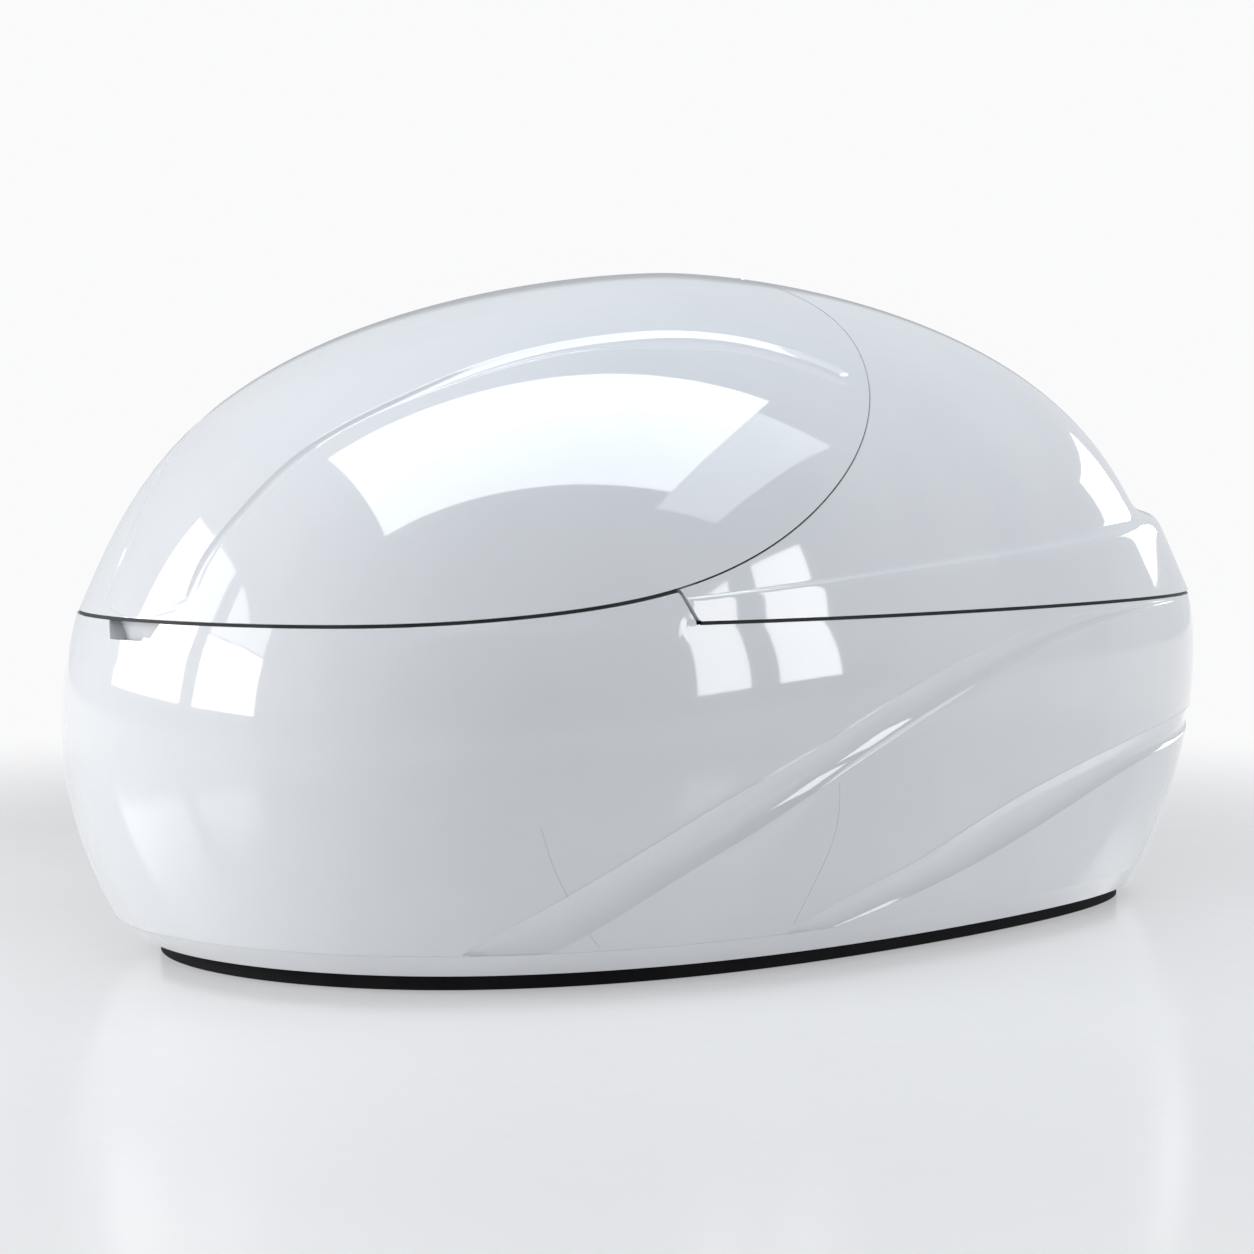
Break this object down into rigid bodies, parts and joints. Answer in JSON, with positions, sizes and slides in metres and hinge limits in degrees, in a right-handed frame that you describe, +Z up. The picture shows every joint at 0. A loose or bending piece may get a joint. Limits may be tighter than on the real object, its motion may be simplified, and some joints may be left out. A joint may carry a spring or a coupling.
{
  "type": "flotation tank",
  "caption": "Egg-shaped white flotation tank: a heated tub in a closed base, with a hinged front lid on gas struts, a fixed rear canopy, seals, frame and plant",
  "frame": {"origin": "on the floor under the middle of the case", "axes": "+X from the nose of the lid towards the tail, +Z up, -Y the side seen in the usual view"},
  "size_m": [2.6498, 1.6064, 1.3476],
  "materials": {
    "white_gelcoat": "glossy gelcoat",
    "liner_white": "glossy acrylic",
    "foam_grey": "rigid foam",
    "seal_black": "matt",
    "plinth_black": "matt",
    "heater_orange": "silicone sheet",
    "frame_paint": "powder coat",
    "stainless": "brushed",
    "polished": "polished",
    "pvc_grey": "satin",
    "pipe_white": "satin",
    "pump_blue": "enamel",
    "filter_clear": "moulded",
    "cartridge": "pleated",
    "tray_aluminium": "plain",
    "box_grey": "moulded",
    "board_green": "board",
    "lens": "clear",
    "button_white": "moulded",
    "button_red": "moulded",
    "lever_red": "dipped"
  },
  "bodies": {
    "tank": {"base_shell": "white_gelcoat", "rear_hatch": "white_gelcoat", "hatch_frame": "plinth_black", "hatch_screws": "stainless", "power_inlet": "plinth_black", "rear_canopy": "white_gelcoat", "canopy_liner": "liner_white", "canopy_foam": "foam_grey", "canopy_seal": "seal_black", "collar_gasket": "seal_black", "tub": "liner_white", "tub_insulation": "foam_grey", "heater_mats": "heater_orange", "sound_transducers": "box_grey", "base_frame": "frame_paint", "levelling_feet": "stainless", "plinth": "plinth_black", "equipment_tray": "tray_aluminium", "pump": "pump_blue", "suction_pipe": "pipe_white", "drain_fittings": "pvc_grey", "drain_covers": "stainless", "filter_canister": "filter_clear", "filter_lid": "plinth_black", "filter_cartridge": "cartridge", "filter_pipe": "pipe_white", "loop_pipe": "pipe_white", "uv_steriliser": "stainless", "return_pipe": "pipe_white", "return_jet": "pvc_grey", "drain_pipe": "pipe_white", "drain_valve": "pvc_grey", "control_box": "box_grey", "control_lid": "box_grey", "control_board": "board_green", "light_housings": "stainless", "light_lenses": "lens", "grab_rails": "stainless", "button_bezels": "stainless", "fan_housing": "plinth_black", "vent_grille": "liner_white", "canopy_bolts": "stainless", "hinge_fixed_leaf": "stainless", "hinge_pin": "stainless", "strut_mounts": "stainless"},
    "lid": {"lid_shell": "white_gelcoat", "lid_liner": "liner_white", "lid_foam": "foam_grey", "rim_seal": "seal_black", "lid_handle": "stainless", "hinge_lid_leaf": "stainless", "lid_mounts": "stainless"},
    "strut_cylinder_l": {"strut_cylinder_left": "plinth_black"},
    "strut_cylinder_r": {"strut_cylinder_right": "plinth_black"},
    "strut_rod_l": {"strut_rod_left": "polished"},
    "strut_rod_r": {"strut_rod_right": "polished"},
    "light_key": {"light_button": "button_white"},
    "call_key": {"call_button": "button_red"},
    "fan": {"fan_rotor": "plinth_black"},
    "lever": {"valve_lever": "lever_red"}
  },
  "joints": [
    {"name": "lid_hinge", "type": "hinge", "parent": "tank", "child": "lid", "pos_m": [0.112, 0, 1.33356], "axis": [0, 1, 0], "range_deg": [0, 50]},
    {"name": "strut_pivot_l", "type": "hinge", "parent": "tank", "child": "strut_cylinder_l", "pos_m": [0.24, -0.455, 0.98], "axis": [0, 1, 0], "range_deg": [0, 23.61]},
    {"name": "strut_slide_l", "type": "slide", "parent": "strut_cylinder_l", "child": "strut_rod_l", "axis": [-0.9762, 0, 0.2169], "range_m": [0, 0.23388]},
    {"name": "strut_pivot_r", "type": "hinge", "parent": "tank", "child": "strut_cylinder_r", "pos_m": [0.24, 0.455, 0.98], "axis": [0, 1, 0], "range_deg": [0, 23.61]},
    {"name": "strut_slide_r", "type": "slide", "parent": "strut_cylinder_r", "child": "strut_rod_r", "axis": [-0.9762, 0, 0.2169], "range_m": [0, 0.23388]},
    {"name": "light_press", "type": "slide", "parent": "tank", "child": "light_key", "axis": [0, 0, -1], "range_m": [0, 0.003], "stiffness_N_per_m": 600, "springref_m": -0.001},
    {"name": "call_press", "type": "slide", "parent": "tank", "child": "call_key", "axis": [0, 0, -1], "range_m": [0, 0.003], "stiffness_N_per_m": 600, "springref_m": -0.001},
    {"name": "fan_spin", "type": "hinge", "parent": "tank", "child": "fan", "pos_m": [1.112, 0, 0.636], "axis": [0, 0, 1], "continuous": true},
    {"name": "drain_lever", "type": "hinge", "parent": "tank", "child": "lever", "pos_m": [0.925, 0, 0.196], "axis": [0, 0, 1], "range_deg": [0, 90]}
  ],
  "couplings": [
    {"joint": "strut_pivot_l", "follows": "lid_hinge", "ratio": 0.47226},
    {"joint": "strut_slide_l", "follows": "lid_hinge", "m_per_rad": 0.268},
    {"joint": "strut_pivot_r", "follows": "lid_hinge", "ratio": 0.47226},
    {"joint": "strut_slide_r", "follows": "lid_hinge", "m_per_rad": 0.268}
  ]
}
